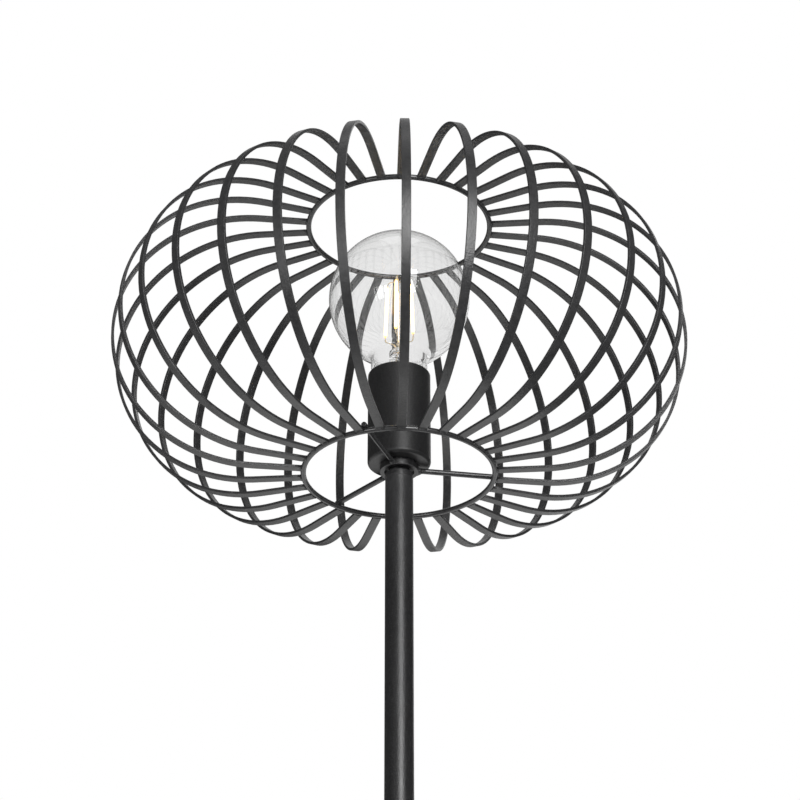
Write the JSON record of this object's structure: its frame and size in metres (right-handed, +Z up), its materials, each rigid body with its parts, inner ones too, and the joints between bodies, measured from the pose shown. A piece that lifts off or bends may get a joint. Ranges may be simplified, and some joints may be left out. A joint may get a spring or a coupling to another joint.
{
  "type": "wire cage floor lamp",
  "caption": "Floor lamp with a slim straight pole on a round flat base, and a wide flattened cage of bent metal strips around a clear globe bulb.",
  "frame": {"origin": "centre of the underside, on the floor", "axes": "+Z up along the pole, front towards -Y, cord inlet at the back towards +Y"},
  "size_m": [0.3992, 0.4, 1.52],
  "materials": {
    "black_coat": "satin black powder coat",
    "felt": "matte",
    "zinc": "satin",
    "rubber_black": "matte",
    "lead_sheath": "matte",
    "core_insulation": "satin",
    "phenolic": "satin",
    "ceramic": "glazed",
    "brass": "satin",
    "cap_metal": "satin",
    "clear_glass": "clear",
    "black_glass": "gloss",
    "solder": "satin",
    "support_metal": "bright",
    "filament": "phosphor",
    "board": "satin"
  },
  "bodies": {
    "stand": {"base_plate": "black_coat", "base_screw": "zinc", "base_felt": "felt", "pole_tube_1": "black_coat", "pole_tube_2": "black_coat", "pole_tube_3": "black_coat", "pole_bushes": "zinc", "pole_nipples": "zinc", "pole_top_bush": "black_coat", "holder_nipple": "zinc", "cord_inlet_bush": "rubber_black", "inner_lead": "lead_sheath", "conductors": "core_insulation", "cage_ring_upper": "black_coat", "cage_ring_lower": "black_coat", "cage_ribs": "black_coat", "spider_rods": "black_coat", "spider_hub": "black_coat", "hub_spacer": "black_coat", "holder_cover": "black_coat", "lock_nut": "zinc", "holder_base": "phenolic", "holder_insert": "ceramic", "holder_skirt": "phenolic", "holder_shell": "brass", "centre_contact": "brass", "terminal_screws": "zinc", "terminal_plates": "brass"},
    "bulb_tip": {"bulb_tip_contact": "solder"},
    "bulb": {"bulb_glass": "clear_glass", "bulb_cap": "cap_metal", "bulb_cap_insulator": "black_glass", "bulb_stem": "clear_glass", "filament_supports": "support_metal", "led_filaments": "filament", "bulb_driver_board": "board"}
  },
  "joints": [
    {"name": "bulb_rise", "type": "slide", "parent": "stand", "child": "bulb_tip", "axis": [0, 0, 1], "range_m": [0, 0.01089]},
    {"name": "bulb_turn", "type": "hinge", "parent": "bulb_tip", "child": "bulb", "pos_m": [0, 0, 1.36825], "axis": [0, 0, 1], "range_deg": [0, 1080]}
  ],
  "couplings": [
    {"joint": "bulb_rise", "follows": "bulb_turn", "m_per_rad": 0.00057751}
  ]
}
